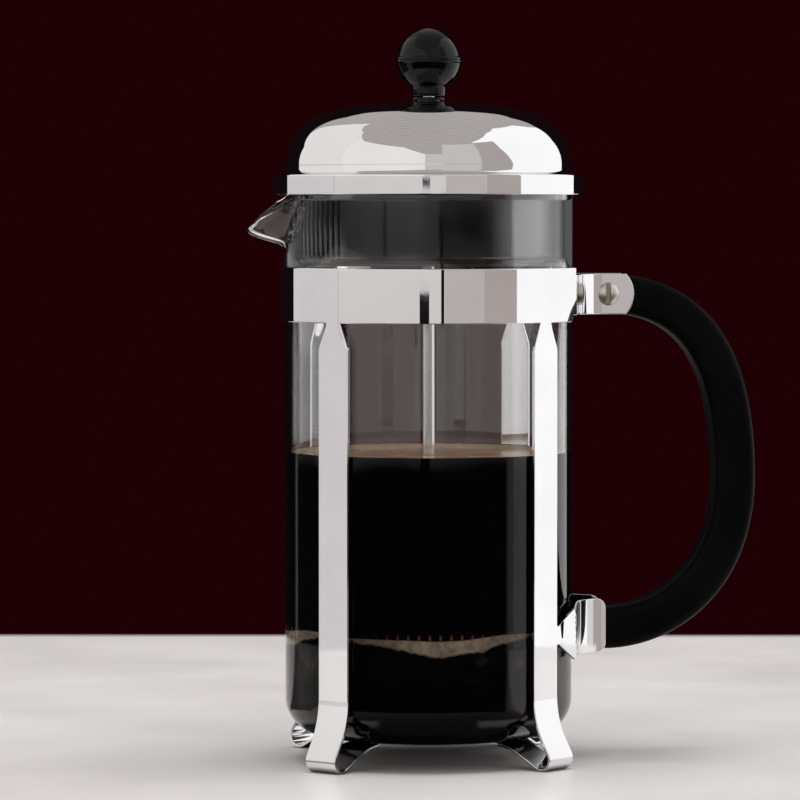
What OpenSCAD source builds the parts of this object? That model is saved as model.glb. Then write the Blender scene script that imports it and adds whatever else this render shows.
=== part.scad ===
// Press for ground coffee: a glass beaker in a chromed sheet frame with a side
// handle, and a domed lid that guides a plunger with a ball knob.
// Origin: on the beaker's axis, at the level of the surface it stands on.
// +X points to the handle, -X to the spout, +Z up.

/* [Beaker] */
// Outer radius of the glass wall
glass_r = 48.4; // [42:0.1:56]
// Thickness of the glass
glass_t = 2; // [1.6:0.1:2.6]
// Height of the beaker, bottom to rim
glass_h = 185.8; // [160:0.5:220]
// Outer radius of the rounded bottom corner
glass_corner_r = 12.5; // [8:0.5:15]
// How far the rim flares past the wall
rim_flare = 1.1; // [0.6:0.1:1.4]
// Reach of the spout's tip past the wall
spout_reach = 13.3; // [9:0.1:16]
// Depth of the spout's tip below the rim
spout_drop = 15.3; // [12:0.1:19]
// Depth of the spout's root below the rim
spout_depth = 21.5; // [19:0.5:26]
// Half of the angle that the spout takes from the rim
spout_half_angle = 27; // [20:1:34]

/* [Frame] */
// Thickness of the frame's sheet
sheet_t = 1.1; // [0.8:0.1:1.3]
// Gap between the glass and the sheet
frame_gap = 0.55; // [0.35:0.05:0.8]
// Height of the band's lower edge
band_z = 148.2; // [130:0.1:155]
// Height of the band itself
band_h = 18.1; // [14:0.1:22]
// Width of a leg
leg_w = 12.7; // [10:0.1:15]
// Width of a leg's neck under the band
neck_w = 6; // [4:0.1:8]
// Height of the shoulder from neck to full width
shoulder_h = 10.4; // [6:0.1:14]
// Angle of a leg from the handle's plane
leg_angle = 45; // [40:1:50]
// Height at which a leg begins to flare
flare_z = 24.5; // [22:0.1:30]
// Angle to which a leg flares from upright
flare_angle = 30; // [20:1:32]
// Radius of the flare
flare_r = 30; // [20:1:34]
// Outer radius of the folded toe
toe_r = 2.9; // [2.5:0.1:3.3]
// Length of the flat that a toe stands on
land_l = 1.2; // [0.8:0.1:2]
// Angle at which a foot rises under the beaker
foot_rise = 25; // [21:1:27]
// Length of a foot's straight rise
foot_l = 13.7; // [12:0.1:15]
// Radius of the bend that levels the foot's end
foot_end_r = 14; // [10:1:16]

/* [Ears and clamp] */
// Inner radius of the bends from sheet to ear
ear_bend_r = 3.4; // [1.2:0.1:4]
// Length of the upper ears past the band's face
ear_l = 18.95; // [17:0.05:23]
// Height of the upper ears
ear_h = 13.6; // [12:0.1:16]
// Radius of the upper ears' round ends
ear_round_r = 11; // [9:0.1:14]
// Distance of the clamp screw past the band's face
screw_out = 9.95; // [8.5:0.05:11.5]
// Radius of the clamp screw's shank
screw_r = 2; // [1.6:0.05:2.3]
// Radius of the clamp screw's head
screw_head_r = 3.9; // [3.4:0.1:4.4]
// Height of the screw's domed head
screw_head_h = 1.9; // [1.5:0.1:2.4]
// Width of the nut across its flats
nut_flats = 7; // [6:0.1:8]
// Height of the nut
nut_h = 3.2; // [2.4:0.1:4]
// Height of the lower ears' middle
wing_z = 44.2; // [42:0.1:46]
// Height of the lower ears
wing_h = 18; // [16:0.1:20]
// Height of a wing where it leaves its leg
wing_root_h = 6; // [4:0.1:8]
// Length of the lower ears past the sheet's face
wing_l = 9.75; // [8:0.05:12]

/* [Handle] */
// Reach of the handle's centre line past the band's face
handle_out = 53.85; // [48:0.05:62]
// Height at which the handle reaches furthest out
handle_mid_z = 95; // [90:0.1:100]
// Half of the grip's thickness, seen from the side
grip_half_t = 7.3; // [6.5:0.05:8]
// Half of the ends' thickness, seen from the side
end_half_t = 6.7; // [6:0.05:6.9]
// Width of the grip across
grip_w = 15; // [13.5:0.1:18]
// Width of the ends that sit between the ears
end_w = 12.2; // [11:0.1:13]

/* [Lid] */
// Gap between the beaker's rim and the lid's rim ring
lid_rim_gap = 2; // [1.5:0.1:3]
// Height of the rim ring
lid_rim_h = 6.7; // [5:0.1:7]
// Width of the ledge between the dome's foot and the rim ring
ledge_w = 4.3; // [3.8:0.1:6]
// Height of the dome's top over the ledge
dome_h = 24.9; // [23:0.1:28]
// Radius of the dome's crown
crown_r = 150; // [120:1:200]
// Radius of the dome's shoulder
shoulder_r = 18; // [14:0.5:18.5]
// Thickness of the dome's sheet
dome_t = 0.8; // [0.6:0.05:0.9]
// Thickness of the insert's top plate
insert_t = 1.6; // [1.2:0.1:2]
// Thickness of the insert's skirt
skirt_t = 1.6; // [1.3:0.1:2]
// Depth of the skirt under the rim of the glass
skirt_h = 27.5; // [24:0.5:30]
// How far the lower skirt is set in
skirt_set_in = 2; // [1:0.1:2.5]
// Number of strainer slots
slot_count = 31; // [9:2:33]
// Width of a strainer slot
slot_w = 1.1; // [0.8:0.1:1.4]
// Spacing of the strainer slots round the skirt
slot_pitch = 2.4; // [2.2:0.1:3]

/* [Guide bush] */
// Outer radius of the bush
bush_r = 3.9; // [3.4:0.1:4.4]
// Radius of the bush's flange
bush_flange_r = 5.7; // [5.2:0.1:6.2]
// Thickness of the flange
bush_flange_t = 0.9; // [0.7:0.1:1.4]
// Height of the nut that holds the bush
bush_nut_h = 2.6; // [2:0.1:4]

/* [Plunger] */
// Radius of the rod
rod_r = 2.05; // [1.8:0.05:2.4]
// Height of the filter over the beaker's floor
filter_lift = 34; // [26:0.5:40]
// Radius of the spring's coil round the filter
coil_r = 1.9; // [1.5:0.1:2.2]
// Thickness of the plates
plate_t = 0.8; // [0.5:0.1:1.1]
// Thickness of the mesh
mesh_t = 0.4; // [0.3:0.05:0.6]
// Height of the nut under the plates
hub_h = 5; // [4:0.1:7]
// Radius of the nut under the plates
hub_r = 5.2; // [4.6:0.1:6.5]
// Radius of the collar over the plates
collar_r = 4.2; // [3.6:0.1:5]
// Height of the collar
collar_h = 3; // [2:0.1:5]

/* [Knob] */
// Radius of the ball
knob_r = 10.8; // [9.5:0.1:12.5]
// Height of the ball's centre over the flange
knob_lift = 12.5; // [12:0.1:14]
// Radius of the neck
neck_r = 5.7; // [5.2:0.1:6.5]
// How far the ring at the equator stands out
ring_out = 0.5; // [0.3:0.1:0.9]
// Height of the ring at the equator
ring_h = 2; // [1.4:0.1:3]
// Wall of the hollow upper shell
knob_wall = 2.4; // [1.8:0.1:3.2]

/* [Hidden] */
$fn = 96;

seat_gap = 0.3;          // between pieces that can be lifted apart
snug_gap = 0.1;          // between pieces that are clamped together
run_gap = 0.08;          // between a shaft and its bearing
past = 1;                // how far a cut runs past a face
edge_cut = 0.3;          // small bevel on a moulded edge

// Frame
frame_r = glass_r + frame_gap;
frame_out_r = frame_r + sheet_t;
band_top = band_z + band_h;
toe_mid_r = toe_r - sheet_t / 2;
flare_end_z = flare_z - flare_r * sin(flare_angle);
toe_start_z = toe_r + toe_mid_r * sin(flare_angle);
flare_run = (flare_end_z - toe_start_z) / cos(flare_angle);
foot_tip_z = sheet_t + (toe_mid_r + foot_end_r) * (1 - cos(foot_rise)) + foot_l * sin(foot_rise);

// Ears: the bends that turn the sheet outwards are centred on [bend_x, bend_y]
ear_in_y = end_w / 2 + snug_gap;
ear_out_y = ear_in_y + sheet_t;
bend_y = ear_out_y + ear_bend_r;
bend_x = sqrt(pow(frame_out_r + ear_bend_r, 2) - pow(bend_y, 2));
bend_angle = atan2(bend_y, bend_x);
ear_end = frame_out_r + ear_l;
wing_end = frame_out_r + wing_l;
screw_x = frame_out_r + screw_out;
ear_z = band_z + band_h / 2;
ear_round_a = asin(ear_h / 2 / ear_round_r);
collar_l = 1.4;          // full height of the band past the bend
ear_corner_r = 1.5;      // round corners of the lower ears
screw_end = 0.4;         // the screw's end past its nut

// Beaker
glass_z = foot_tip_z + seat_gap;
glass_in_r = glass_r - glass_t;
rim_z = glass_z + glass_h;
spout_tip = [-(glass_r + spout_reach), rim_z - spout_drop];
flare_h = 8;             // height of the rim's flare
spout_edge_r = 3;        // outer radius of the spout's keel
lip_h = 0.9;             // keel's centre over the tip's lowest outline
lip_fall = 5.6;          // drop of the lip from the rim to the wall's face
spout_open = 1.35;       // how far the spout's channel is carried inwards

// Lid
lid_rim_r = glass_r + rim_flare + lid_rim_gap + dome_t;
dome_r = lid_rim_r - ledge_w;
ledge_z = rim_z + seat_gap + insert_t + snug_gap + dome_t;
lid_rim_z = ledge_z - lid_rim_h;
dome_top = ledge_z + dome_h;
crown_z = dome_top - crown_r;
shoulder_x = dome_r - shoulder_r;
shoulder_z = crown_z + sqrt(pow(crown_r - shoulder_r, 2) - pow(shoulder_x, 2));
shoulder_tilt = asin(shoulder_x / (crown_r - shoulder_r));
insert_z = rim_z + seat_gap;
skirt_r = glass_in_r - seat_gap - snug_gap;
skirt_z = rim_z - skirt_h;
step_z = skirt_z + skirt_h * 0.07;
bush_hole_r = bush_r + run_gap;
bearing_wall = 2.4;      // wall of the plastic round the bush
insert_hub_r = bush_hole_r + bearing_wall;
insert_hub_h = 5;

// Guide bush
flange_z = dome_top + seat_gap;
flange_top = flange_z + bush_flange_t;
bush_end_z = insert_z - bush_nut_h - insert_hub_h + insert_t;

// Plunger
rod_bore_r = rod_r + run_gap;
filter_z = glass_z + glass_t + filter_lift;
coil_mid_r = glass_in_r - seat_gap - coil_r;
plate_r = coil_mid_r - coil_r - snug_gap;
spiral_z = filter_z - plate_t / 2;
mesh_z = spiral_z - mesh_t;
mesh_r = plate_r - 1;
hole_r = plate_r / 15;
cross_z = mesh_z - plate_t;
cross_r = plate_r * 0.86;
hub_z = cross_z - hub_h;
hub_floor = 0.8;         // closed end of the nut under the plates
hub_flats = 0.8;         // the nut's flats, as a share of its radius
collar_z = spiral_z + plate_t;
knob_z = flange_top + knob_lift;
knob_foot_z = flange_top + seat_gap;
rod_top = knob_z - 2.5;
insert_r = rod_r + 1.35;
thread_gap = 0.05;       // between a plain thread and its hole

// Handle
handle_setback = 1.5;    // from the sheet's outer face to the handle's ends
handle_end_x = frame_out_r + handle_setback;
handle_straight_x = frame_out_r + screw_out;
handle_reach = frame_out_r + handle_out;
handle_top_z = ear_z;
handle_low_z = wing_z;

// ---------------------------------------------------------------- outlines

// Points of an arc round [cx, cy] from angle a0 to a1
function arc(cx, cy, r, a0, a1, n) =
    [for (i = [0 : n]) let (a = a0 + (a1 - a0) * i / n) [cx + r * cos(a), cy + r * sin(a)]];

// A walk over a plane: each move is [length, 0] for a straight or [radius, turn] for a bend.
// Gives [x, y, heading] at each corner and along each bend.
function bend_steps(turn) = ceil(abs(turn) / 6);
function bend_point(p, r, turn, a) =
    let (s = sign(turn), h = p[2])
    [p[0] - s * r * (sin(h) - sin(h + a)), p[1] + s * r * (cos(h) - cos(h + a)), h + a];
function move_points(p, m) =
    m[1] == 0
    ? [[p[0] + m[0] * cos(p[2]), p[1] + m[0] * sin(p[2]), p[2]]]
    : [for (i = [1 : bend_steps(m[1])]) bend_point(p, m[0], m[1], m[1] * i / bend_steps(m[1]))];
function walk(p, moves, i = 0) =
    i == len(moves)
    ? [p]
    : let (q = move_points(p, moves[i])) concat([p], [for (k = [0 : 1 : len(q) - 2]) q[k]],
        walk(q[len(q) - 1], moves, i + 1));

// Outline of a sheet of thickness t whose middle follows the walk
function side(path, d) = [for (p = path) [p[0] - d * sin(p[2]), p[1] + d * cos(p[2])]];
function turned(list) = [for (i = [len(list) - 1 : -1 : 0]) list[i]];
function sheet_outline(path, t) = concat(side(path, t / 2), turned(side(path, -t / 2)));

function smooth(t) = let (u = max(0, min(1, t))) u * u * (3 - 2 * u);

// ------------------------------------------------------------------- frame

// Side view of a leg, from under the band to the foot's free end
leg_path = walk([frame_r + sheet_t / 2, band_z, -90], [
    [band_z - flare_z, 0],
    [flare_r, flare_angle],
    [flare_run, 0],
    [toe_mid_r, -90 - flare_angle],
    [land_l, 0],
    [toe_mid_r, -foot_rise],
    [foot_l, 0],
    [foot_end_r, foot_rise]
]);

// Front view of a leg: full width below, a soft shoulder, and the neck
function leg_half_w(z) =
    leg_w / 2 - (leg_w - neck_w) / 2 * smooth((z - band_z + shoulder_h) / (shoulder_h * 0.8));
leg_zs = concat([-past], [for (i = [0 : 10]) band_z - shoulder_h * (1 - i / 10)], [band_z + past]);
leg_front = concat([for (z = leg_zs) [leg_half_w(z), z]], turned([for (z = leg_zs) [-leg_half_w(z), z]]));

module leg(angle) {
    rotate([0, 0, angle]) intersection() {
        rotate([90, 0, 0]) linear_extrude(leg_w, center = true) polygon(sheet_outline(leg_path, sheet_t));
        rotate([90, 0, 90]) linear_extrude(2 * glass_r) polygon(leg_front);
    }
}

// Plan of the sheet round the glass, from the ears' bend to an angle, on the +Y side
module plan_sector(a0, a1) {
    far = 4 * glass_r;
    intersection() {
        difference() {
            circle(frame_out_r);
            circle(frame_r);
        }
        polygon(concat([[0, 0]], arc(0, 0, far, a0, a1, 6)));
    }
}

// Plan of the bend that turns the sheet outwards into an ear, on the +Y side
module plan_bend() {
    far = 4 * ear_bend_r + 4 * sheet_t;
    translate([bend_x, bend_y]) intersection() {
        difference() {
            circle(ear_bend_r + sheet_t, $fn = 48);
            circle(ear_bend_r, $fn = 48);
        }
        polygon(concat([[0, 0]], arc(0, 0, far, 180 + bend_angle, 270, 2)));
    }
}

// A flat ear on the +Y side, drawn from the side
module ear() {
    translate([0, ear_out_y, 0]) rotate([90, 0, 0]) linear_extrude(sheet_t) children();
}

module ear_hole() {
    translate([screw_x, 0, ear_z]) rotate([90, 0, 0])
        cylinder(r = screw_r + snug_gap, h = 4 * ear_out_y, center = true, $fn = 48);
}

module band_half() {
    translate([0, 0, band_z]) linear_extrude(band_h) {
        plan_sector(bend_angle, 180.5);
        plan_bend();
    }
    ear() {
        translate([bend_x, band_z]) square([collar_l, band_h]);
        polygon(concat(
            [[bend_x, ear_z + ear_h / 2], [bend_x, ear_z - ear_h / 2]],
            arc(ear_end - ear_round_r, ear_z, ear_round_r, -ear_round_a, ear_round_a, 16)
        ));
    }
}

module frame_band() {
    color("silver") difference() {
        union() {
            band_half();
            mirror([0, 1, 0]) band_half();
        }
        ear_hole();
    }
}

// A wing from a leg on the handle's side to the lower ear, on the +Y side
module wing() {
    leg_y = frame_out_r * sin(leg_angle) - leg_w / 2 * cos(leg_angle);
    intersection() {
        translate([0, 0, wing_z - wing_h / 2]) linear_extrude(wing_h) {
            plan_sector(bend_angle, leg_angle);
            plan_bend();
        }
        rotate([90, 0, 90]) linear_extrude(2 * glass_r) polygon([
            [0, wing_z + wing_h / 2 + past], [bend_y, wing_z + wing_h / 2 + past],
            [bend_y, wing_z + wing_h / 2],
            [leg_y, wing_z + wing_root_h / 2], [2 * leg_y, wing_z + wing_root_h / 2],
            [2 * leg_y, wing_z - wing_root_h / 2], [leg_y, wing_z - wing_root_h / 2],
            [bend_y, wing_z - wing_h / 2],
            [bend_y, wing_z - wing_h / 2 - past], [0, wing_z - wing_h / 2 - past]
        ]);
    }
    ear() polygon(concat(
        [[bend_x, wing_z + wing_h / 2], [bend_x, wing_z - wing_h / 2]],
        arc(wing_end - ear_corner_r, wing_z - wing_h / 2 + ear_corner_r, ear_corner_r, -90, 0, 5),
        arc(wing_end - ear_corner_r, wing_z + wing_h / 2 - ear_corner_r, ear_corner_r, 0, 90, 5)
    ));
}

module leg_front_left() color("silver") leg(leg_angle - 180);
module leg_back_left() color("silver") leg(180 - leg_angle);
module leg_front_right() {
    color("silver") {
        leg(-leg_angle);
        mirror([0, 1, 0]) wing();
    }
}
module leg_back_right() {
    color("silver") {
        leg(leg_angle);
        wing();
    }
}

// ------------------------------------------------------------------ handle

// The centre line: a straight end, two cubic curves that meet at the grip's middle, a straight end
function cubic(p, t) =
    pow(1 - t, 3) * p[0] + 3 * pow(1 - t, 2) * t * p[1] + 3 * (1 - t) * t * t * p[2] + pow(t, 3) * p[3];
function cubic_dir(p, t) =
    pow(1 - t, 2) * (p[1] - p[0]) + 2 * (1 - t) * t * (p[2] - p[1]) + t * t * (p[3] - p[2]);
handle_depth = handle_reach - handle_straight_x;
upper_h = handle_top_z - handle_mid_z;
lower_h = handle_mid_z - handle_low_z;
// How far each curve's control points lie along its tangents
upper_pull = [0.79, 0.54];
lower_pull = [0.71, 0.425];
upper_curve = [
    [handle_straight_x, handle_top_z], [handle_straight_x + upper_pull[0] * handle_depth, handle_top_z],
    [handle_reach, handle_mid_z + upper_pull[1] * upper_h], [handle_reach, handle_mid_z]
];
lower_curve = [
    [handle_reach, handle_mid_z], [handle_reach, handle_mid_z - lower_pull[0] * lower_h],
    [handle_straight_x + lower_pull[1] * handle_depth, handle_low_z], [handle_straight_x, handle_low_z]
];
// Place along the handle runs 0 to 1 over the upper curve and 1 to 2 over the lower one
function handle_point(s) = s < 1 ? cubic(upper_curve, s) : cubic(lower_curve, s - 1);
function handle_dir(s) = s < 1 ? cubic_dir(upper_curve, s) : cubic_dir(lower_curve, s - 1);
function handle_half_t(s) = end_half_t + (grip_half_t - end_half_t) * sin(90 * min(s, 1.6 - 0.3 * s));
function handle_half_w(s) =
    end_w / 2 + (grip_w - end_w) / 2 * smooth((s - 0.13) / 0.25) * smooth((1.95 - s) / 0.25);

section_n = 16;
section_power = 0.5;     // 1 gives an ellipse, 0 a square
function bow(v) = sign(v) * pow(abs(v), section_power);
// One ring of the handle at p, across the direction d, half_t thick and half_w wide
function handle_ring(p, d, half_t, half_w) =
    let (l = norm(d), nx = -d[1] / l, nz = d[0] / l)
    [for (i = [0 : section_n - 1])
        let (a = 360 * (i + 0.5) / section_n, u = half_t * bow(cos(a)), v = half_w * bow(sin(a)))
        [p[0] + nx * u, v, p[1] + nz * u]];
handle_steps = 22;
handle_rings = concat(
    [handle_ring([handle_end_x, handle_top_z], [1, 0], handle_half_t(0), end_w / 2)],
    [for (i = [0 : 2 * handle_steps])
        let (s = i / handle_steps)
        handle_ring(handle_point(s), handle_dir(s), handle_half_t(s), handle_half_w(s))],
    [handle_ring([handle_end_x, handle_low_z], [-1, 0], handle_half_t(2), end_w / 2)]
);

// A closed tube through rings of equal length
module tube(rings) {
    n = len(rings[0]);
    last = (len(rings) - 1) * n;
    sides = [for (j = [0 : len(rings) - 2], i = [0 : n - 1], k = [0, 1])
        let (a = j * n + i, b = j * n + (i + 1) % n)
        k == 0 ? [a, b, b + n] : [a, b + n, a + n]];
    polyhedron(
        [for (ring = rings, p = ring) p],
        concat(sides, [[for (i = [n - 1 : -1 : 0]) i]], [[for (i = [0 : n - 1]) last + i]])
    );
}

module handle() {
    color("#1a1a1b") difference() {
        tube(handle_rings);
        ear_hole();
    }
}

// ------------------------------------------------------------ clamp screw

module clamp_screw() {
    dome_sphere = (pow(screw_head_r, 2) + pow(screw_head_h, 2)) / (2 * screw_head_h);
    half = asin(screw_head_r / dome_sphere);
    driver_w = screw_head_r * 0.36;
    driver_d = screw_head_h * 0.5;
    shank_l = 2 * ear_out_y + nut_h + screw_end;
    color("tan") translate([screw_x, -ear_out_y, ear_z]) rotate([90, 0, 0]) {
        difference() {
            rotate_extrude() polygon(concat(
                [[0, 0]], arc(0, screw_head_h - dome_sphere, dome_sphere, 90 - half, 90, 8)));
            translate([-driver_w / 2, -screw_head_r - past, screw_head_h - driver_d])
                cube([driver_w, 2 * screw_head_r + 2 * past, driver_d + past]);
        }
        translate([0, 0, -shank_l]) cylinder(r = screw_r, h = shank_l);
    }
}

module clamp_nut() {
    color("silver") translate([screw_x, ear_out_y + nut_h, ear_z]) rotate([90, 0, 0]) difference() {
        cylinder(r = nut_flats / sqrt(3), h = nut_h, $fn = 6);
        translate([0, 0, -past]) cylinder(r = screw_r + thread_gap, h = nut_h + 2 * past);
    }
}

// ------------------------------------------------------------------ beaker

// Outline of the glass at a depth d inside its outer face, open to the axis
function glass_side(d) = concat(
    [[0, glass_z + d]],
    arc(glass_r - glass_corner_r, glass_z + glass_corner_r, glass_corner_r - d, -90, 0, 12),
    [for (i = [0 : 4]) [glass_r + rim_flare * smooth(i / 4) - d, rim_z - flare_h * (1 - i / 4)]]
);

module beaker_cavity() {
    inner = glass_side(glass_t);
    top = inner[len(inner) - 1];
    rotate_extrude() polygon(concat(inner, [[top[0], rim_z + past], [0, rim_z + past]]));
}

// The spout, or its channel: a keel from the wall down to the tip, spread to both sides of the rim
module spout_form(r, carry) {
    tip = [spout_tip[0] + spout_edge_r, 0, spout_tip[1] + lip_h];
    root = [-(glass_r - spout_edge_r), 0, rim_z - spout_depth];
    corner_x = -(glass_r - spout_edge_r) * cos(spout_half_angle);
    corner_y = (glass_r - spout_edge_r) * sin(spout_half_angle);
    roots = [root, [corner_x, corner_y, rim_z], [corner_x, -corner_y, rim_z]];
    hull() {
        translate(tip) sphere(r, $fn = 24);
        for (p = roots) translate(tip + carry * (p - tip)) sphere(r, $fn = 24);
    }
}

// What is cut away above the spout's lip
module lip_cut() {
    side_x = -glass_r * cos(spout_half_angle);
    tip_x = spout_tip[0];
    tip_z = spout_tip[1] + lip_h;
    rotate([90, 0, 0]) linear_extrude(2 * glass_r, center = true) polygon([
        [side_x, rim_z], [-glass_r, rim_z - lip_fall], [tip_x + lip_h, tip_z + lip_h / 2],
        [tip_x - past, tip_z], [tip_x - past, rim_z + 2 * past], [side_x + past, rim_z + 2 * past]
    ]);
}

module beaker() {
    color([0.85, 0.9, 0.9, 0.35]) difference() {
        union() {
            rotate_extrude() polygon(concat(glass_side(0), [[0, rim_z]]));
            spout_form(spout_edge_r, 1);
        }
        beaker_cavity();
        spout_form(spout_edge_r - glass_t, spout_open);
        lip_cut();
        translate([0, 0, rim_z]) cylinder(r = 2 * glass_r, h = 2 * spout_edge_r);
    }
}

// --------------------------------------------------------------------- lid

module lid_dome() {
    ledge = [[dome_r + 0.3, ledge_z + 2], [dome_r + 0.9, ledge_z + 0.6], [dome_r + 2, ledge_z],
        [lid_rim_r - 0.6, ledge_z], [lid_rim_r, ledge_z - 0.6], [lid_rim_r, lid_rim_z]];
    under = [[lid_rim_r - dome_t, lid_rim_z], [lid_rim_r - dome_t, ledge_z - dome_t],
        [dome_r + 0.8, ledge_z - dome_t], [dome_r - 0.1, ledge_z + 0.4], [dome_r - 0.5, ledge_z + 2]];
    hole_a = asin(bush_hole_r / crown_r);
    color("gainsboro") rotate_extrude() polygon(concat(
        arc(0, crown_z, crown_r, 90 - hole_a, 90 - shoulder_tilt, 10),
        arc(shoulder_x, shoulder_z, shoulder_r, 90 - shoulder_tilt, 0, 14),
        ledge, under,
        arc(shoulder_x, shoulder_z, shoulder_r - dome_t, 0, 90 - shoulder_tilt, 14),
        arc(0, crown_z, crown_r - dome_t, 90 - shoulder_tilt, 90 - hole_a, 10)
    ));
}

module lid_insert() {
    plate_out_r = lid_rim_r - dome_t - seat_gap;
    skirt_low_r = skirt_r - skirt_set_in;
    slot_top = insert_z - 0.22 * skirt_h;
    slot_low = skirt_z + 0.12 * skirt_h;
    step_h = 0.6 * skirt_set_in;
    color("#3a3a3c") difference() {
        rotate_extrude() polygon([
            [bush_hole_r, insert_z + insert_t], [plate_out_r, insert_z + insert_t],
            [plate_out_r, insert_z], [skirt_r, insert_z],
            [skirt_r, step_z + step_h], [skirt_r - 0.3 * skirt_set_in, step_z],
            [skirt_low_r, step_z - step_h],
            [skirt_low_r, skirt_z], [skirt_low_r - skirt_t, skirt_z],
            [skirt_low_r - skirt_t, step_z - step_h / 2], [skirt_r - skirt_t, step_z + step_h * 1.5],
            [skirt_r - skirt_t, insert_z],
            [insert_hub_r, insert_z], [insert_hub_r, insert_z + insert_t - insert_hub_h],
            [bush_hole_r, insert_z + insert_t - insert_hub_h]
        ]);
        for (i = [0 : slot_count - 1])
            rotate([0, 0, 180 + (i - (slot_count - 1) / 2) * slot_pitch / skirt_r * 180 / PI])
                translate([skirt_low_r - skirt_t - past, -slot_w / 2, slot_low])
                    cube([skirt_set_in + skirt_t + 2 * past, slot_w, slot_top - slot_low]);
    }
}

// -------------------------------------------------------------- guide bush

module rod_bush() {
    color("#202022") rotate_extrude() polygon([
        [rod_bore_r, bush_end_z], [bush_r, bush_end_z], [bush_r, flange_z], [bush_flange_r, flange_z],
        [bush_flange_r, flange_top - edge_cut], [bush_flange_r - edge_cut, flange_top],
        [rod_bore_r, flange_top]
    ]);
}

module bush_nut() {
    top = insert_z + insert_t - insert_hub_h - seat_gap;
    low = bush_end_z + screw_end;
    color("silver") translate([0, 0, low]) difference() {
        cylinder(r = insert_hub_r, h = top - low, $fn = 6);
        translate([0, 0, -past]) cylinder(r = bush_r + thread_gap, h = top - low + 2 * past);
    }
}

// ----------------------------------------------------------------- plunger

// A round plate with the rod's hole
module plate(z, t, r) {
    translate([0, 0, z]) difference() {
        cylinder(r = r, h = t);
        translate([0, 0, -past]) cylinder(r = rod_r + thread_gap, h = t + 2 * past);
    }
}

// A ring of cuts through whatever is at height z
module cut_ring(count, ring_r, r, z) {
    for (i = [0 : count - 1])
        rotate([0, 0, 360 * i / count]) translate([ring_r, 0, z - 5]) cylinder(r = r, h = 10, $fn = 32);
}

module plunger_rod() {
    rod_low = hub_z + hub_floor;
    color("lightsteelblue") translate([0, 0, rod_low]) cylinder(r = rod_r, h = rod_top - rod_low);
}

module rod_collar() {
    color("silver") plate(collar_z, collar_h, collar_r);
}

module spiral_plate() {
    color("lightgrey") difference() {
        plate(spiral_z, plate_t, plate_r);
        for (k = [1 : 3])
            cut_ring(6 * k, plate_r * (0.08 + 0.24 * k), hole_r, spiral_z);
    }
}

module edge_spring() {
    color("silver") translate([0, 0, filter_z]) rotate_extrude()
        translate([coil_mid_r, 0]) circle(coil_r, $fn = 24);
}

module filter_mesh() {
    color("darkgrey") plate(mesh_z, mesh_t, mesh_r);
}

module cross_plate() {
    color("lightgrey") difference() {
        plate(cross_z, plate_t, cross_r);
        cut_ring(4, cross_r * 0.6, cross_r * 0.29, cross_z);
    }
}

module hub_nut() {
    color("silver") difference() {
        translate([0, 0, hub_z]) cylinder(r = hub_r, h = hub_h);
        translate([0, 0, hub_z + hub_floor]) cylinder(r = rod_r + thread_gap, h = hub_h);
        for (i = [0 : 1])
            translate([i == 0 ? hub_r * hub_flats : -hub_r * (hub_flats + 2), -hub_r, hub_z - past])
                cube([2 * hub_r, 2 * hub_r, hub_h / 2 + past]);
    }
}

// -------------------------------------------------------------------- knob

module knob_base() {
    neck_a = -acos(neck_r / knob_r);
    color("#101012") rotate_extrude() polygon(concat(
        [[insert_r + thread_gap, knob_foot_z], [neck_r - edge_cut, knob_foot_z],
            [neck_r, knob_foot_z + edge_cut], [neck_r, knob_z + knob_r * sin(neck_a) - edge_cut]],
        arc(0, knob_z, knob_r, neck_a + 4, asin(-ring_h / 2 / knob_r), 12),
        [[knob_r + ring_out * 0.7, knob_z - ring_h / 2], [knob_r + ring_out, knob_z - ring_h / 4],
            [knob_r + ring_out, knob_z], [insert_r + thread_gap, knob_z]]
    ));
}

module knob_cap() {
    color("#101012") rotate_extrude() polygon(concat(
        [[knob_r - knob_wall, knob_z], [knob_r + ring_out, knob_z], [knob_r + ring_out, knob_z + ring_h / 4],
            [knob_r + ring_out * 0.7, knob_z + ring_h / 2]],
        arc(0, knob_z, knob_r, asin(ring_h / 2 / knob_r), 90, 14),
        arc(0, knob_z, knob_r - knob_wall, 90, 0, 10)
    ));
}

module knob_insert() {
    color("goldenrod") difference() {
        translate([0, 0, knob_foot_z + past]) cylinder(r = insert_r, h = knob_z - knob_foot_z - past);
        translate([0, 0, knob_foot_z]) cylinder(r = rod_r + thread_gap, h = knob_lift + past);
    }
}

frame_band();
leg_front_left();
leg_front_right();
leg_back_left();
leg_back_right();
handle();
clamp_screw();
clamp_nut();
beaker();
rod_bush();
bush_nut();
lid_dome();
lid_insert();
plunger_rod();
rod_collar();
spiral_plate();
edge_spring();
filter_mesh();
cross_plate();
hub_nut();
knob_base();
knob_cap();
knob_insert();
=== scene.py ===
"""A press for ground coffee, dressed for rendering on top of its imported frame.

Shapes are worked out in millimetres as whole numpy arrays and written in metres.
+Z is up along the beaker's axis, +X points to the handle and -X to the spout.
"""

import math

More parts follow.
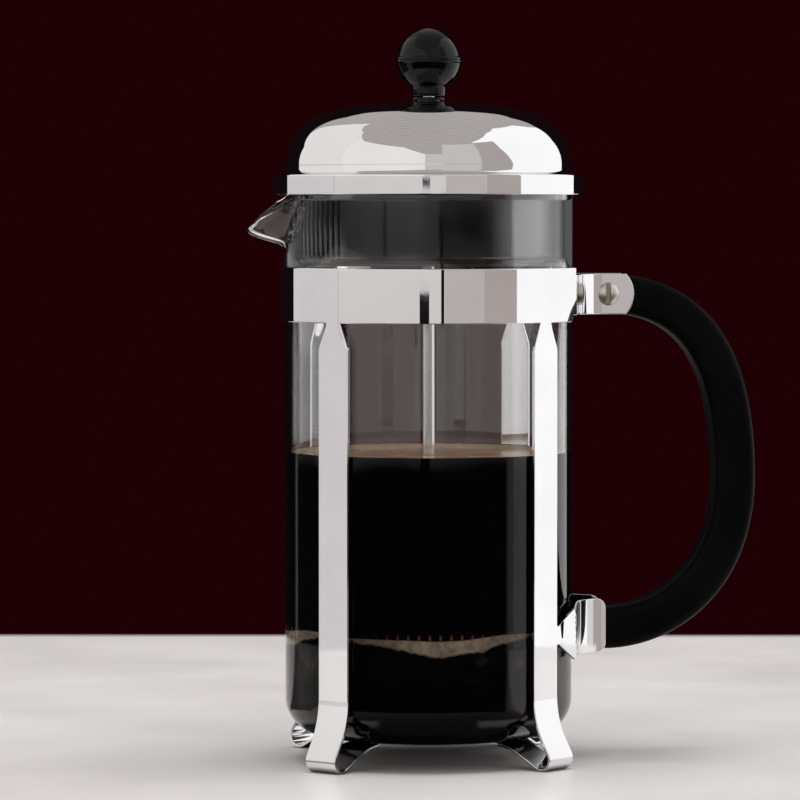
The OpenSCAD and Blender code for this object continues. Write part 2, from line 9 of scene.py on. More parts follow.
import bmesh
import bpy
import numpy as np
from mathutils import Euler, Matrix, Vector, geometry


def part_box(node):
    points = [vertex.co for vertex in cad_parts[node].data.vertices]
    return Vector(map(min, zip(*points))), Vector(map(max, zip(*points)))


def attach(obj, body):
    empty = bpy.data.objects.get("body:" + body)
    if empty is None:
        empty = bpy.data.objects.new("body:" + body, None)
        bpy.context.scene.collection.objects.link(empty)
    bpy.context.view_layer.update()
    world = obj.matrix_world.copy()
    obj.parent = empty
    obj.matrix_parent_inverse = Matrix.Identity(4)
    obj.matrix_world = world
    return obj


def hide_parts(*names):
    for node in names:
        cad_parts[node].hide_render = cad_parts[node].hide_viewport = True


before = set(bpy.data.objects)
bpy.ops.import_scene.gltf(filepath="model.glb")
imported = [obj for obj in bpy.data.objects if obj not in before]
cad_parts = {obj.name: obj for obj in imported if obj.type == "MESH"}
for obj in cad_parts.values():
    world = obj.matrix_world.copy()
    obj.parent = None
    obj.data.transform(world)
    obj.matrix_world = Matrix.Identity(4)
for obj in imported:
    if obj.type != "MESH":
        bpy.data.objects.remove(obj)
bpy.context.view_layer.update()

MM = 0.001
TAU = 2 * np.pi


def corners_of(node):
    """Lowest and highest corner of a CAD node in millimetres."""
    low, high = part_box(node)
    return np.array(low) / MM, np.array(high) / MM


# ---- measures
band_low, band_high = corners_of("frame_band")
glass_low, glass_high = corners_of("beaker")
dome_low, dome_high = corners_of("lid_dome")
spring_low, spring_high = corners_of("edge_spring")
screw_low, screw_high = corners_of("clamp_screw")

RIM_FLARE = 1.1  # how far the rim stands out from the glass's wall
GLASS_R = glass_high[1] - RIM_FLARE
GLASS_T = 2.0
CORNER_R = 12.5  # where the glass's wall turns into its floor
GLASS_Z, RIM_Z = glass_low[2], glass_high[2]
SHEET = 1.1
MID_R = GLASS_R + 0.55 + SHEET / 2  # the middle of the frame's sheet, 0.55 clear of the glass
BAND_Z, BAND_TOP = band_low[2], band_high[2]
EAR_END = band_high[0]
EAR_Z = (BAND_Z + BAND_TOP) / 2
EAR_Y = 6.2 + SHEET / 2  # the ears' middle, on either side of the handle
WING_Z = 44.2
LEDGE_Z = dome_low[2] + 6.7
KNOB_Z, NECK_Z = corners_of("knob_cap")[0][2], corners_of("knob_base")[0][2]
FILTER_Z = (spring_low[2] + spring_high[2]) / 2
COIL_TURNS = 83
COFFEE_Z = 102.8
FOAM_Z = 0.038  # metres: the lowest foam at the filter

BACKDROP = (0.0128, 0.0004, 0.0015)  # plain dark wall behind the table
TABLE_R = 0.435  # metres from the press to the table's front and back edges
FRONT_TURN = 96  # degrees from the camera's side of the press to the X axis, round Z
QUARTER_FROM = -37.0  # degrees from the camera's side at which the coffee's front quarter starts


# ---- camera
eye = bpy.data.objects.new("eye", bpy.data.cameras.new("eye"))
bpy.context.collection.objects.link(eye)
eye.location = (-0.1586, -1.5087, 0.1863)
eye.rotation_euler = Euler((math.radians(90 - 2.45), 0, math.radians(-6 + 0.363)), "XYZ")
eye.data.lens = 202.3
eye.data.sensor_width = 36
eye.data.clip_end = 50
bpy.context.scene.camera = eye


# ---- shaping
def ease(t):
    """0 up to 0, 1 from 1 on, and 3t^2 - 2t^3 between."""
    t = np.clip(t, 0.0, 1.0)
    return t * t * (3 - 2 * t)


def soft_max(a, b, width):
    """The larger of a and b, with the corner between them rounded over width."""
    return 0.5 * (a + b + np.sqrt((a - b) ** 2 + width**2))


def polar(angle):
    """The plane's unit vectors at some angles."""
    return np.stack([np.cos(angle), np.sin(angle)], -1)


def unit(v):
    """Vectors along the last axis, each brought to length 1."""
    return v / np.linalg.norm(v, axis=-1, keepdims=True)


def grid_faces(rows, cols, close_rows=False, close_cols=False):
    """Quads between neighbouring points of a grid, joined round where it closes."""
    i = np.arange(rows if close_rows else rows - 1)
    j = np.arange(cols if close_cols else cols - 1)
    i, j = (k.ravel() for k in np.meshgrid(i, j, indexing="ij"))
    i2, j2 = (i + 1) % rows, (j + 1) % cols
    return np.stack([i * cols + j, i * cols + j2, i2 * cols + j2, i2 * cols + j], axis=1)


def sheet(grid, close_rows=False, close_cols=False):
    """A grid of points as one list of them, and the quads between neighbours."""
    return grid.reshape(-1, 3), grid_faces(*grid.shape[:2], close_rows, close_cols)


def rounded(corners, radii, turn=9.0):
    """An outline through corners, each cut off by an arc of its radius, in steps of turn degrees at most."""
    corners = np.asarray(corners, float)
    out = []
    for k, (c, r) in enumerate(zip(corners, radii)):
        if r == 0:
            out.append(c[None])
            continue
        a, b = corners[k - 1] - c, corners[(k + 1) % len(corners)] - c
        la, lb = np.hypot(*a), np.hypot(*b)
        a, b = a / la, b / lb
        half = 0.5 * np.arccos(a @ b)
        reach = min(r / np.tan(half), 0.48 * la, 0.48 * lb)
        r = reach * np.tan(half)
        centre = c + (a + b) / np.hypot(*(a + b)) * r / np.sin(half)
        start, end = c + a * reach - centre, c + b * reach - centre
        a0 = np.arctan2(start[1], start[0])
        sweep = (np.arctan2(end[1], end[0]) - a0 + np.pi) % TAU - np.pi
        steps = max(2, int(np.ceil(np.degrees(abs(sweep)) / turn)))
        t = a0 + sweep * np.linspace(0, 1, steps + 1)
        out.append(centre + r * polar(t))
    return np.concatenate(out)


def arc(cx, cy, r, a0, a1, n):
    """Points of an arc round (cx, cy) between two angles in degrees."""
    return np.array([cx, cy]) + r * polar(np.radians(np.linspace(a0, a1, n)))


def turned(outline, count=144, closed=True):
    """The outline (radius, height) carried round the Z axis."""
    a = np.linspace(0, TAU, count, endpoint=False)
    r, z = outline.T
    return sheet(np.stack([np.outer(np.cos(a), r), np.outer(np.sin(a), r), np.tile(z, (count, 1))], -1), True, closed)


def add_piece(name, body, finish, sheets, stands_for=(), sharp=32.0, normals=None):
    """Joins sheets of points and faces into one welded piece that rides on a body."""
    points, faces, n = [], [], 0
    for p, f in sheets:
        points.append(p)
        for g in f if isinstance(f, list) else [f]:
            faces += (np.asarray(g) + n).tolist()
        n += len(p)
    mesh = bpy.data.meshes.new(name)
    mesh.from_pydata((np.concatenate(points) * MM).tolist(), [], faces)
    if normals is None:
        bm = bmesh.new()
        bm.from_mesh(mesh)
        bmesh.ops.remove_doubles(bm, verts=bm.verts, dist=2e-6)
        bmesh.ops.dissolve_degenerate(bm, edges=bm.edges, dist=1e-7)
        bmesh.ops.recalc_face_normals(bm, faces=bm.faces)
        bm.to_mesh(mesh)
        bm.free()
        mesh.shade_smooth()
        mesh.set_sharp_from_angle(angle=math.radians(sharp))
    else:
        mesh.shade_smooth()
        mesh.normals_split_custom_set_from_vertices(normals.tolist())
    mesh.materials.append(finish)
    piece = bpy.data.objects.new(name, mesh)
    bpy.context.collection.objects.link(piece)
    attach(piece, body)
    if stands_for:
        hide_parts(*stands_for)
    return piece


def second_finish(piece, finish, chosen):
    """Gives the chosen faces of a piece another finish."""
    piece.data.materials.append(finish)
    picks = np.array([chosen(face) for face in piece.data.polygons], np.int32)
    piece.data.polygons.foreach_set("material_index", picks)


# ---- finishes
class Flow:
    """A value in the node tree of a finish or the world; a sum on it adds a node."""

    def __init__(self, owner, socket):
        self.owner, self.socket = owner, socket

    def __add__(self, other):
        return calc("ADD", self, other)

    def __sub__(self, other):
        return calc("SUBTRACT", self, other)

    def __rsub__(self, other):
        return calc("SUBTRACT", other, self)

    def __mul__(self, other):
        return calc("MULTIPLY", self, other)

    def __truediv__(self, other):
        return calc("DIVIDE", self, other)


def feed(target, values):
    """Joins flows to a node's inputs, and writes numbers and colours into them."""
    for key, value in values.items():
        socket = target.inputs[key]
        if isinstance(value, Flow):
            value.owner.node_tree.links.new(value.socket, socket)
        else:
            socket.default_value = (*value, 1) if socket.type == "RGBA" else value


def node(owner, kind, inputs=None, output=0, **settings):
    """Adds a node with its settings and inputs, and gives one of its outputs."""
    n = owner.node_tree.nodes.new("ShaderNode" + kind)
    for key, value in settings.items():
        setattr(n, key, value)
    feed(n, inputs or {})
    return Flow(owner, n.outputs[output])


def outputs(flow):
    """All the outputs of a flow's node, by name."""
    return {socket.name: Flow(flow.owner, socket) for socket in flow.socket.node.outputs}


def calc(operation, *values):
    """A sum on one or two values, each a flow or a number."""
    owner = next(v.owner for v in values if isinstance(v, Flow))
    return node(owner, "Math", dict(enumerate(values)), operation=operation)


def largest(*values):
    """The largest of some values."""
    top = values[0]
    for value in values[1:]:
        top = calc("MAXIMUM", top, value)
    return top


def axes(vector):
    """The x, y and z of a vector."""
    return outputs(node(vector.owner, "SeparateXYZ", {0: vector})).values()


def scaled(colour, factor):
    """A colour times a factor."""
    return node(colour.owner, "VectorMath", {0: colour, "Scale": factor}, operation="SCALE")


def noise(place, scale, detail=2.0, stretch=(1, 1, 1)):
    """Noise of so many cells in a metre, stretched along the axes."""
    spot = node(place.owner, "Mapping", {"Vector": place, "Scale": stretch})
    return node(place.owner, "TexNoise", {"Vector": spot, "Scale": scale, "Detail": detail})


def spread(source, low, high, source_low=0.3, source_high=0.7):
    """Carries a value from one range to another and stops at its ends."""
    return node(source.owner, "MapRange", {
        "Value": source, "From Min": source_low, "From Max": source_high, "To Min": low, "To Max": high,
    })


def between(value, low, high, soft=0.4):
    """1 where a value lies between two others, with soft ends."""
    return spread(value, 0, 1, low - soft, low + soft) * spread(value, 1, 0, high - soft, high + soft)


def laid(base, factor, colour):
    """Base with a colour laid over it as far as the factor says."""
    return node(factor.owner, "Mix", {0: factor, 6: base, 7: colour}, 2, data_type="RGBA")


def ramp(value, stops, crisp=False):
    """Numbers or colours by a value, held between the stops where crisp, else joined straight."""
    flow = node(value.owner, "ValToRGB", {0: value})
    band = flow.socket.node.color_ramp
    band.interpolation = "CONSTANT" if crisp else "LINEAR"
    while len(band.elements) < len(stops):
        band.elements.new(1.0)
    for mark, (at, level) in zip(band.elements, stops):
        mark.position = at
        mark.color = (*level, 1) if isinstance(level, tuple) else (level, level, level, 1)
    return flow


def new_finish(name):
    """A finish with its shader, and the place on the piece in metres."""
    finish = bpy.data.materials.new(name)
    finish.use_nodes = True
    return finish, finish.node_tree.nodes["Principled BSDF"], node(finish, "TexCoord", output="Object")


def bump(shader, height, depth):
    feed(shader, {"Normal": node(height.owner, "Bump", {"Height": height, "Distance": depth})})


def metal_finish(name, low, high, rough, grain, wave=0.0, stretch=(1, 1, 1)):
    """Metal whose tone, roughness and fine grain vary; wave is the sheet's slow unevenness."""
    finish, shader, place = new_finish(name)
    smear, fine = noise(place, 45, 4, stretch), noise(place, 700, 3, stretch)
    feed(shader, {
        "Metallic": 1,
        "Base Color": laid(low, spread(smear, 0, 1), high),
        "Roughness": spread(smear * 0.6 + fine * 0.4, *rough),
    })
    height = fine * grain
    if wave:
        height += noise(place, 55, 1) * wave
    bump(shader, height, 0.001)
    return finish


def moulded_finish(name, low, high, rough, grain, scale, specular):
    """Moulded plastic with a fine grain and a slightly uneven gloss."""
    finish, shader, place = new_finish(name)
    cloud = noise(place, 60, 3)
    feed(shader, {
        "Base Color": laid(low, spread(cloud, 0, 1), high),
        "Roughness": spread(cloud, *rough),
        "Specular IOR Level": specular,
    })
    bump(shader, noise(place, scale, 2), grain)
    return finish


def glass_finish():
    """Clear drawn glass with a very slow waviness and a faint film."""
    finish, shader, place = new_finish("clear_glass")
    film = spread(noise(place, 30, 3), 0, 1)
    feed(shader, {
        "Base Color": laid((0.965, 0.975, 0.972), film, (0.985, 0.99, 0.988)),
        "Roughness": 0, "IOR": 1.47, "Transmission Weight": 1,
    })
    bump(shader, noise(place, 26, 1, (1, 1, 0.35)), 0.00025)
    return finish


def mesh_finish():
    """Woven wire: crossed waves lift the wires, and the gaps between them are painted dark as painted shade."""
    finish, shader, place = new_finish("woven_mesh")
    weave = largest(*(
        node(finish, "TexWave", {"Vector": place, "Scale": 420}, 1, wave_type="BANDS", bands_direction=axis)
        for axis in "XY"
    ))
    feed(shader, {
        "Metallic": 1,
        # painted shade: the gaps between the wires get a near-black colour
        "Base Color": laid((0.05, 0.05, 0.05), spread(weave, 0, 1, 0.35, 0.8), (0.6, 0.59, 0.57)),
        "Roughness": spread(noise(place, 80), 0.3, 0.45),
    })
    bump(shader, weave, 0.00015)
    return finish


chrome = metal_finish("polished_chrome", (0.80, 0.80, 0.81), (0.86, 0.86, 0.87), (0.01, 0.03), 0.0003, wave=0.004)
steel = metal_finish("bright_steel", (0.78, 0.76, 0.75), (0.88, 0.87, 0.86), (0.12, 0.22), 0.01, stretch=(1, 1, 0.05))
plate_steel = metal_finish("plate_steel", (0.58, 0.57, 0.55), (0.68, 0.67, 0.65), (0.18, 0.32), 0.01)
nickel = metal_finish("warm_nickel", (0.74, 0.69, 0.62), (0.88, 0.84, 0.78), (0.32, 0.46), 0.02, stretch=(1, 1, 6))
slot_nickel = metal_finish("slot_nickel", (0.40, 0.35, 0.30), (0.50, 0.44, 0.38), (0.3, 0.4), 0.02)
brass = metal_finish("turned_brass", (0.62, 0.46, 0.20), (0.74, 0.57, 0.29), (0.2, 0.32), 0.015, stretch=(1, 1, 6))
satin_black = moulded_finish(
    "satin_black", (0.0015, 0.0015, 0.0017), (0.003, 0.003, 0.0033), (0.36, 0.46), 0.00005, 2600, 0.04,
)
gloss_black = moulded_finish(
    "gloss_black", (0.0012, 0.0012, 0.0014), (0.0028, 0.0028, 0.003), (0.08, 0.16), 0.00001, 900, 0.25,
)
insert_black = moulded_finish(
    "insert_black", (0.003, 0.003, 0.0036), (0.0055, 0.005, 0.0062), (0.03, 0.06), 0.000002, 1800, 1.0,
)
glass = glass_finish()
woven = mesh_finish()


# ---- frame sheet
# The band, its ears and the four legs are one blank, cut flat and bent round.
# Along the blank runs s, from 0 at the spout; up it runs d, which is the height
# down to the flare and the developed length below it.
NECK, LEG_W, SHOULDER = 6.0, 12.7, 10.4
FLARE_Z, FLARE_R, FLARE_TURN = 24.5, 30.0, 30.0
TOE_R, LAND, RISE, FOOT_L, FOOT_R = 4.0 - SHEET / 2, 0.3, 29.0, 8.65, 21.5
# At LEAD_A from the handle's plane the sheet leaves the circle and runs straight to a
# crest; it drops steeply from there, and a wide bend turns it out into an ear.
LEAD_A, CREST_A = np.radians([39.0, 14.0])
CREST_R, BEND_R, DROP = 2.0 - SHEET / 2, 13.1 + SHEET / 2, 3.0
LEAD_OUT, CREST_OUT = polar(LEAD_A), polar(CREST_A)
LEAD = (
    MID_R * np.sin(LEAD_A) - CREST_R * (np.sin(LEAD_A) - np.sin(CREST_A)) - EAR_Y
    - BEND_R * (1 - np.sin(CREST_A)) - DROP * np.cos(CREST_A)
) / np.cos(LEAD_A)
LEAD_DIR, DROP_DIR = (np.array([y, -x]) for x, y in (LEAD_OUT, CREST_OUT))
CREST_C = (MID_R - CREST_R) * LEAD_OUT + LEAD * LEAD_DIR
DROP_FROM = CREST_C + CREST_R * CREST_OUT
BEND_C = CREST_C + (CREST_R + BEND_R) * CREST_OUT + DROP * DROP_DIR
S_LEAD = MID_R * (np.pi - LEAD_A)
S_CREST = S_LEAD + LEAD
S_DROP = S_CREST + CREST_R * (LEAD_A - CREST_A)
S_BEND = S_DROP + DROP
S_FLAT = S_BEND + BEND_R * (np.pi / 2 - CREST_A)
WING_END = 59.5
S_WING = S_BEND + BEND_R * (np.arccos((BEND_C[0] - WING_END) / BEND_R) - CREST_A)
LEGS = MID_R * np.radians([-135, -45, 45, 135])


def walk(start, moves):
    """A walk over a plane: straights (length, 0) and bends (radius, turn). Rows of length, x, z, heading."""
    rows = [np.array([0.0, *start])]
    for size, turn in moves:
        length, x, z, heading = rows[-1]
        if turn == 0:
            h = np.radians(heading)
            rows.append(np.array([length + size, x + size * np.cos(h), z + size * np.sin(h), heading]))
            continue
        n = int(np.ceil(abs(turn)))
        a = np.radians(turn * np.arange(1, n + 1) / n)
        h, s = np.radians(heading), np.sign(turn)
        bend = np.stack([
            length + size * abs(a),
            x - s * size * (np.sin(h) - np.sin(h + a)),
            z + s * size * (np.cos(h) - np.cos(h + a)),
            heading + np.degrees(a),
        ], 1)
        rows += list(bend)
    return np.array(rows)


flare_turn = math.radians(FLARE_TURN)
flare_drop = FLARE_R * math.sin(flare_turn)
toe_top = TOE_R + SHEET / 2 + TOE_R * math.sin(flare_turn)
flare_run = (FLARE_Z - flare_drop - toe_top) / math.cos(flare_turn)
foot_walk = walk((MID_R, FLARE_Z, -90.0), [
    (FLARE_R, FLARE_TURN), (flare_run, 0), (TOE_R, -90 - FLARE_TURN), (LAND, 0),
    (TOE_R, -RISE), (FOOT_L, 0), (FOOT_R, RISE),
])
BLANK_LOW = FLARE_Z - foot_walk[-1, 0]


def bent(s, d):
    """Middle of the sheet at (s, d): round the glass, out into the ears, and down the legs."""
    a = np.abs(s)[..., None]
    at = MID_R * polar(np.pi - np.minimum(a, S_LEAD)[..., 0] / MID_R) + np.maximum(a - S_LEAD, 0) * LEAD_DIR
    for start, points in (
        (S_CREST, CREST_C + CREST_R * polar(LEAD_A - (a[..., 0] - S_CREST) / CREST_R)),
        (S_DROP, DROP_FROM + (a - S_DROP) * DROP_DIR),
        (S_BEND, BEND_C - BEND_R * polar(CREST_A + (a[..., 0] - S_BEND) / BEND_R)),
        (S_FLAT, (BEND_C[0], EAR_Y) + (a - S_FLAT) * (1, 0)),
    ):
        at = np.where(a > start, points, at)
    plan = np.stack([at[..., 0], np.sign(s) * at[..., 1], np.maximum(d, FLARE_Z)], -1)
    near = LEGS[np.argmin(np.abs(s[..., None] - LEGS), -1)]
    across = s - near
    alpha = np.pi - near / MID_R
    run = np.maximum(FLARE_Z - d, 0)
    out = np.interp(run, foot_walk[:, 0], foot_walk[:, 1])
    z = np.where(d >= FLARE_Z, d, np.interp(run, foot_walk[:, 0], foot_walk[:, 2]))
    leg = np.stack([
        out * np.cos(alpha) + across * np.sin(alpha),
        out * np.sin(alpha) - across * np.cos(alpha), z,
    ], -1)
    flat = ease((BAND_Z - d) / SHOULDER) * (1 - ease((np.abs(across) - LEG_W / 2) / 5))
    flat = np.where(d < FLARE_Z + 5, 1.0, flat)[..., None]
    return plan * (1 - flat) + leg * flat


def bent_frame(s, d):
    """Unit directions on the bent sheet: along s, up d, and out of its outer face."""
    e = 0.01
    ds = unit(bent(s + e, d) - bent(s - e, d))
    dd = unit(bent(s, d + e) - bent(s, d - e))
    return ds, dd, unit(np.cross(dd, ds))


def blank_outline():
    """The blank's outline on the +Y side, from the spout round to the ear and back, then mirrored."""
    fall = np.linspace(0.06, 1, 14)
    d_side = BAND_Z - 8.9 * fall
    w_side = NECK / 2 + (LEG_W - NECK) / 2 * (0.8 * fall + 0.2 * ease(fall))
    pts, rad = [], []

    def add(s, d, r=0.0):
        s, d = np.atleast_1d(s), np.atleast_1d(d)
        s, d = np.broadcast_arrays(s, d)
        pts.append(np.stack([s, d], 1))
        rad.append(np.full(len(s), r))

    for leg in LEGS[2:]:
        add(leg - NECK / 2, BAND_Z, 0.4)
        add(leg - w_side, d_side)
        add(leg - LEG_W / 2, BLANK_LOW, 1.6)
        add(leg + LEG_W / 2, BLANK_LOW, 1.6)
        if leg == LEGS[3]:
            s = np.linspace(leg + LEG_W / 2 + 1.0, S_CREST - 0.5, 14)
            out = bent(s, np.full_like(s, WING_Z))[:, 0]
            share = (out - out[0]) / (out[-1] - out[0])
            add(leg + LEG_W / 2, WING_Z - 3.1, 0.6)
            add(s, WING_Z - 3.1 - 5.9 * share)
            add(S_BEND + 3.0, WING_Z - 8.2, 3.0)
            add(S_WING, WING_Z - 8.0, 3.4)
            add(S_WING, WING_Z + 10.2, 3.4)
            add(S_BEND + 4.0, WING_Z + 10.2, 3.0)
            add(s[::-1], WING_Z + 3.1 + 5.0 * share[::-1])
            add(leg + LEG_W / 2, WING_Z + 3.1, 0.6)
        add(leg + w_side[::-1], d_side[::-1])
        add(leg + NECK / 2, BAND_Z, 0.4)
    low_collar, high_collar = S_CREST - 2.6, S_CREST + 0.2
    ear_half, round_r = 6.8, 9.8
    sweep = math.degrees(math.asin(ear_half / round_r))
    end = arc(S_FLAT + EAR_END - BEND_C[0] - round_r, EAR_Z, round_r, -sweep, sweep, 25)
    add(low_collar, BAND_Z, 0.8)
    add(low_collar + 0.9, EAR_Z - ear_half, 0.0)
    add(end[:, 0], end[:, 1])
    add(high_collar - 0.4, EAR_Z + ear_half, 0.0)
    add(high_collar, BAND_TOP, 0.8)
    half = np.concatenate(pts)
    radii = np.concatenate(rad)
    mirrored = half[::-1] * (-1, 1)
    return rounded(np.concatenate([half, mirrored]), np.concatenate([radii, radii[::-1]]), turn=12)


def evenly(outline):
    """The closed outline with points about 0.9 mm apart, and closer in the tight bends."""
    ring = np.vstack([outline, outline[:1]])
    gap = np.hypot(*np.diff(ring, axis=0).T)
    ring = ring[np.r_[True, gap > 1e-6]]
    at = np.r_[0, np.cumsum(np.hypot(*np.diff(ring, axis=0).T))]
    fine = np.arange(0, at[-1], 0.22)
    s, d = np.interp(fine, at, ring[:, 0]), np.interp(fine, at, ring[:, 1])
    a = np.abs(s)
    tight = ((a > S_CREST - 0.3) & (a < S_FLAT + 0.3)) | ((d < FLARE_Z - 19.5) & (d > FLARE_Z - 32))
    tight |= d < BLANK_LOW + 8
    keep = tight | (np.arange(len(fine)) % 4 == 0)
    extra = fine[keep]
    away = np.abs(extra[:, None] - at[None]).min(1) > 0.1
    u = np.sort(np.concatenate([at[:-1], extra[away]]))
    return np.stack([np.interp(u, at, ring[:, 0]), np.interp(u, at, ring[:, 1])], 1)


def inside_points(loop):
    """Points of the blank's inner grid that lie inside the loop and clear of its edge."""
    grids = []

    def patch(s, d, clear=0.4):
        """Points at every s and d, each with how far it must keep from the edge."""
        s, d = np.meshgrid(s, d, indexing="ij")
        grids.append(np.stack([s.ravel(), d.ravel(), np.full(s.size, clear)], 1))

    def rows(middle, half, count):
        return np.linspace(middle - half, middle + half, count)

    bend = np.concatenate([
        np.linspace(S_CREST, S_DROP, 7)[:-1], np.linspace(S_DROP, S_BEND, 6)[:-1], np.linspace(S_BEND, S_FLAT, 40),
    ])
    for side in (-1, 1):
        patch(side * np.arange(0.6, S_CREST - 0.3, 1.15), rows(EAR_Z, (BAND_TOP - BAND_Z) / 2 - 0.9, 6))
        patch(side * bend, rows(EAR_Z, 6.1, 9), 0.15)
        patch(side * bend, rows(WING_Z, 8.2, 9), 0.15)
        patch(side * np.arange(LEGS[3] + LEG_W / 2 + 0.5, S_CREST - 0.3, 1.15), rows(WING_Z, 8.4, 11))
        patch(side * np.arange(S_FLAT + 2.5, S_FLAT + 19, 2.5), rows(EAR_Z, 5.5, 5))
        patch(side * np.arange(S_FLAT + 2, S_FLAT + 8, 2), rows(WING_Z, 7.5, 5))
    d_leg = np.concatenate([
        np.arange(BAND_Z - 0.5, BAND_Z - 12, -0.8), np.arange(BAND_Z - 13, FLARE_Z, -3.0),
        np.arange(FLARE_Z, FLARE_Z - 19.5, -0.8), np.arange(FLARE_Z - 19.5, FLARE_Z - 31, -0.22),
        np.arange(FLARE_Z - 31, BLANK_LOW + 10, -1.2), np.arange(BLANK_LOW + 10, BLANK_LOW, -0.6),
    ])
    for leg in LEGS:
        patch(rows(leg, 5.4, 8), d_leg, 0.3)
    p = np.concatenate(grids)
    a, b = loop, np.roll(loop, -1, 0)
    ab = b - a
    keep = np.zeros(len(p), bool)
    for part in np.array_split(np.arange(len(p)), 16):
        q = p[part, None, :2]
        t = np.clip(((q - a) * ab).sum(-1) / (ab * ab).sum(-1), 0, 1)
        far = np.linalg.norm(q - a - t[..., None] * ab, axis=-1).min(1)
        straddle = (a[:, 1] > q[..., 1]) != (b[:, 1] > q[..., 1])
        rise = np.where(ab[:, 1] == 0, 1e-12, ab[:, 1])
        cross = q[..., 0] < a[:, 0] + (q[..., 1] - a[:, 1]) * ab[:, 0] / rise
        keep[part] = ((straddle & cross).sum(1) % 2 == 1) & (far > p[part, 2])
    return p[keep, :2]


def frame_sheet():
    """Both faces of the blank, joined by a rounded edge, with exact normals."""
    edge, half = 0.3, SHEET / 2
    outline = evenly(blank_outline())
    tangent = unit(np.roll(outline, -1, 0) - np.roll(outline, 1, 0))
    outward = np.stack([tangent[:, 1], -tangent[:, 0]], 1)
    inset = outline - edge * outward
    flat = np.concatenate([inset, inside_points(inset)])
    n, count = len(inset), len(flat)
    ring = np.stack([np.arange(n), (np.arange(n) + 1) % n], 1)
    verts, _, tris, *_ = geometry.delaunay_2d_cdt(flat.tolist(), ring.tolist(), [], 1, 1e-5)
    if len(verts) != count:
        raise ValueError(f"the blank's points changed from {count} to {len(verts)}")
    tris = np.array(tris)[:, ::-1]
    ds, dd, out = bent_frame(flat[:, 0], flat[:, 1])
    middle = bent(flat[:, 0], flat[:, 1])
    rim_out = outward[:, :1] * ds[:n] + outward[:, 1:] * dd[:n]
    c, s = polar(np.radians([60, 30, 0, 0, -30, -60])).T[:, :, None, None]
    core = (half - edge) * np.repeat([1, -1], 3)[:, None, None]
    rim_n = c * rim_out + s * out[:n]
    rim = middle[:n] + core * out[:n] + edge * rim_n
    points = np.concatenate([middle + half * out, middle - half * out, rim.reshape(-1, 3)])
    normals = np.concatenate([out, -out, rim_n.reshape(-1, 3)])
    loop = np.arange(n)[None]
    rows = np.concatenate([loop, 2 * count + np.arange(6 * n).reshape(6, n), count + loop])
    quads = rows.ravel()[grid_faces(8, n, False, True)]
    return points, [tris, tris[:, ::-1] + count, quads], normals


*frame_faces, frame_normals = frame_sheet()
add_piece(
    "frame_sheet", "frame", chrome, [frame_faces],
    ("frame_band", "leg_front_left", "leg_front_right", "leg_back_left", "leg_back_right"),
    normals=frame_normals,
)


